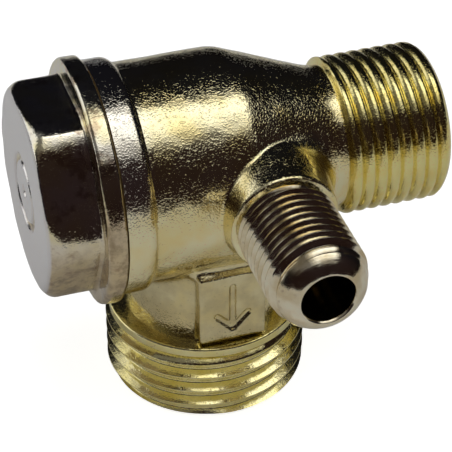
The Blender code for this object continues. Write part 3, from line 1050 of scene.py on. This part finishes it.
def moulded_rubber(name, colour, dust):
    """Dull, slightly pitted and dusty rubber or fibre."""
    n = material_nodes(name)
    shown = n.mix(n.remap(n.noise(0.7, 5, 0.7), 0.5, 0.8), colour, dust)
    roughness = n.remap(n.noise(0.3, 3), 0.3, 0.7, 0.55, 0.85)
    return n.finish(shown, roughness, n.bump(n.noise(0.12, 3, 0.6), 0.012), metallic=0.0)


# ---------------------------------------------------------------- stage, light and camera

# Light: its strengths, where the window stands in degrees from +Y, and the unlit room's tones.
SOFTBOX_STRENGTH = 1.7
CEILING_STRENGTH = 0.14
WINDOW_STRENGTH = 0.95
WINDOW_AZIMUTH = -55.0
ROOM_BACK = (0.006, 0.006, 0.009, 1)
ROOM_FRONT = (0.019, 0.012, 0.013, 1)
# The least height used when a direction is turned into slopes.
HORIZON = 0.02

# Camera, in millimetres like the shapes.
CAMERA_AZIMUTH = math.radians(17.75)
CAMERA_ELEVATION = math.radians(36.99)
CAMERA_ROLL = math.radians(-0.15)
CAMERA_DISTANCE = 197.3
CAMERA_TARGET = Vector((2.24, 0, 16.32))
CAMERA_LENS = 152.3
CAMERA_SENSOR = 36
CAMERA_SHIFT = (0.0038, 0.0024)


def plane(name, height, size, material):
    """A flat, level square, in metres."""
    mesh = bpy.data.meshes.new(name)
    builder = bmesh.new()
    bmesh.ops.create_grid(builder, x_segments=1, y_segments=1, size=size / 2)
    builder.to_mesh(mesh)
    builder.free()
    obj = bpy.data.objects.new(name, mesh)
    bpy.context.scene.collection.objects.link(obj)
    obj.location = (0, 0, height)
    mesh.materials.append(material)
    return obj


def plain(name, colour, emission=0.0):
    """A plain matt material for the stage."""
    material = bpy.data.materials.new(name)
    material.use_nodes = True
    shader = material.node_tree.nodes["Principled BSDF"]
    shader.inputs["Base Color"].default_value = (*colour, 1)
    shader.inputs["Roughness"].default_value = 1.0
    shader.inputs["Specular IOR Level"].default_value = 0.0
    if emission:
        shader.inputs["Emission Color"].default_value = (*colour, 1)
        shader.inputs["Emission Strength"].default_value = emission
    return material


def build_stage():
    """A pale floor for the camera alone, and close under it the one that the metal mirrors."""
    pale = plain("floor_pale", (0.80, 0.80, 0.79), emission=1.1)
    floor = plane("floor", -0.0002, 3.0, pale)
    floor.visible_glossy = False
    floor.visible_diffuse = False
    floor.visible_shadow = False
    dull = plain("floor_dull", (1.20, 1.20, 1.20), emission=0.02)
    mirrored = plane("floor_mirrored", -0.0004, 0.5, dull)
    mirrored.visible_camera = False
    mirrored.visible_diffuse = False
    mirrored.visible_shadow = False


def build_world():
    """Soft studio light from a dark room: a softbox overhead on the right, a dim ceiling
    and a window low behind on the left. Each is a patch of the sky, and each of its edges
    fades from one slope of the view direction to another."""
    n = Nodes(bpy.data.worlds.new("studio"), "Generated")
    bpy.context.scene.world = n.owner
    x, y, z = n.part("X"), n.part("Y"), n.part("Z")

    def window(value, rise, fall):
        return n.math("MULTIPLY", n.remap(value, *rise), n.remap(value, *fall))

    def patch(across, along, strength):
        return n.math("MULTIPLY", n.math("MULTIPLY", across, along), strength)

    above = n.math("MAXIMUM", z, HORIZON)
    right, back = n.math("DIVIDE", x, above), n.math("DIVIDE", y, above)
    softbox = patch(
        window(right, (-0.45, 0.05), (1.20, 0.70)),
        window(back, (-0.93, 0.0), (0.26, -0.02)),
        SOFTBOX_STRENGTH,
    )
    ceiling = patch(
        n.remap(z, 0.35, 0.65), window(back, (-0.90, -0.50), (0.50, 0.20)), CEILING_STRENGTH
    )
    ceiling = n.math("MULTIPLY", ceiling, n.remap(right, 0.10, -0.10))
    west, north = math.sin(math.radians(WINDOW_AZIMUTH)), math.cos(math.radians(WINDOW_AZIMUTH))
    toward = n.math("ADD", n.math("MULTIPLY", x, west), n.math("MULTIPLY", y, north))
    toward = n.math("MAXIMUM", toward, HORIZON)
    side = n.math("ADD", n.math("MULTIPLY", x, north), n.math("MULTIPLY", y, -west))
    side, height = n.math("DIVIDE", side, toward), n.math("DIVIDE", z, toward)
    glass = patch(
        window(side, (-0.65, -0.35), (0.45, 0.20)),
        window(height, (-0.12, 0.05), (1.40, 0.90)),
        WINDOW_STRENGTH,
    )
    light = n.math("ADD", n.math("ADD", softbox, ceiling), glass)
    room = n.mix(n.remap(y, 0.15, -0.5), ROOM_BACK, ROOM_FRONT)
    lit = n.add("ShaderNodeMix", data_type="RGBA", blend_type="ADD", clamp_result=False)
    lit.inputs["Factor"].default_value = 1.0
    n.link(room, lit.inputs[6])
    n.link(light, lit.inputs[7])
    n.link(lit.outputs[2], n.tree.nodes["Background"].inputs["Color"])


def build_backdrop():
    """A pale dome round the scene that only the camera sees."""
    mesh = bpy.data.meshes.new("backdrop")
    builder = bmesh.new()
    bmesh.ops.create_uvsphere(builder, u_segments=32, v_segments=16, radius=3.0)
    builder.to_mesh(mesh)
    builder.free()
    dome = bpy.data.objects.new("backdrop", mesh)
    bpy.context.scene.collection.objects.link(dome)
    mesh.materials.append(plain("backdrop_pale", (0.95, 0.95, 0.95), emission=0.9))
    for kind in ("diffuse", "glossy", "transmission", "shadow"):
        setattr(dome, f"visible_{kind}", False)


def build_camera():
    """Front left and above, aimed just under the main bore."""
    flat = math.cos(CAMERA_ELEVATION)
    back = Vector((
        -math.sin(CAMERA_AZIMUTH) * flat,
        -math.cos(CAMERA_AZIMUTH) * flat,
        math.sin(CAMERA_ELEVATION),
    ))
    right = (-back).cross(Vector((0, 0, 1))).normalized()
    up = right.cross(-back)
    tilted_right = right * math.cos(CAMERA_ROLL) + up * math.sin(CAMERA_ROLL)
    tilted_up = up * math.cos(CAMERA_ROLL) - right * math.sin(CAMERA_ROLL)
    data = bpy.data.cameras.new("camera")
    data.sensor_width = CAMERA_SENSOR
    data.lens = CAMERA_LENS
    data.shift_x, data.shift_y = CAMERA_SHIFT
    data.clip_start = 0.01
    camera = bpy.data.objects.new("camera", data)
    bpy.context.scene.collection.objects.link(camera)
    position = CAMERA_TARGET * MM + back * (CAMERA_DISTANCE * MM)
    turned_to = Matrix((tilted_right, tilted_up, back)).transposed().to_4x4()
    camera.matrix_world = Matrix.Translation(position) @ turned_to
    bpy.context.scene.camera = camera
    bpy.context.scene.view_settings.view_transform = "Standard"


# ---------------------------------------------------------------- assembly


def place(piece, node, body, material):
    """Gives a piece its material and body, and hides the CAD node that it stands in for."""
    piece.data.materials.clear()
    piece.data.materials.append(material)
    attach(piece, body)
    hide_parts(node)


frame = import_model()
build_camera()
build_stage()
build_backdrop()
build_world()

# The casting carries a painted highlight tint on the collar's top and painted shade on its lower
# parts.
cast = cast_plating(
    "cast_plating", GOLD, DEEP_GOLD, 0.010, pale_highlight_x=COLLAR_END_X + 1.0, rich_z=NECK_FOOT_Z + 1.6,
    shade_below_z=18.0,
)
# The cap carries random stains, and painted shade with grime on its lower half.
cap_plating = cast_plating("cap_plating", PALE_GOLD, GOLD, 0.005, stain_and_shade=0.6, face_x=HEX_END_X)
inlet = turned_plating("inlet_plating", "X", INLET_GOLD, INLET_DARK, 0.009)
tank = turned_plating("tank_plating", "Z", RICH_GOLD, RICH_DARK, 0.006)
unloader = turned_plating("unloader_plating", "Y", UNLOADER_TONE, UNLOADER_DARK, 0.0012, 0.015)
skirt = turned_plating("skirt_plating", "X", PALE_GOLD, GREY_GOLD, 0.006)
plain_brass = plain_metal("plain_brass", RAW_BRASS, "X", 0.22, 0.40, BROWN_BRASS)
zinc = plain_metal("zinc_plate", ZINC, "X", 0.25, 0.42, DULL_ZINC)
wire = plain_metal("spring_wire", STEEL, "Z", 0.20, 0.35, DARK_STEEL)
rubber = moulded_rubber("disc_rubber", BLACK_RUBBER, RUBBER_DUST)
fibre = moulded_rubber("gasket_fibre", FIBRE, PALE_FIBRE)

place(casting(), "valve_body", "housing", cast)
place(inlet_port(), "valve_body", "housing", inlet)
place(tank_port(), "valve_body", "housing", tank)
place(unloader_port(), "valve_body", "housing", unloader)
place(cap_head(), "hex_cap", "housing", cap_plating)
place(cap_skirt(), "hex_cap", "housing", skirt)
place(gasket(), "cap_gasket", "housing", fibre)
place(piston(), "piston", "valve_piston", plain_brass)
place(seal_disc(), "seal_disc", "valve_piston", rubber)
place(disc_washer(), "disc_washer", "valve_piston", zinc)
place(disc_screw(), "disc_screw", "valve_piston", zinc)

spring = return_spring()
place(spring, "return_spring", "housing", wire)
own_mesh(spring)
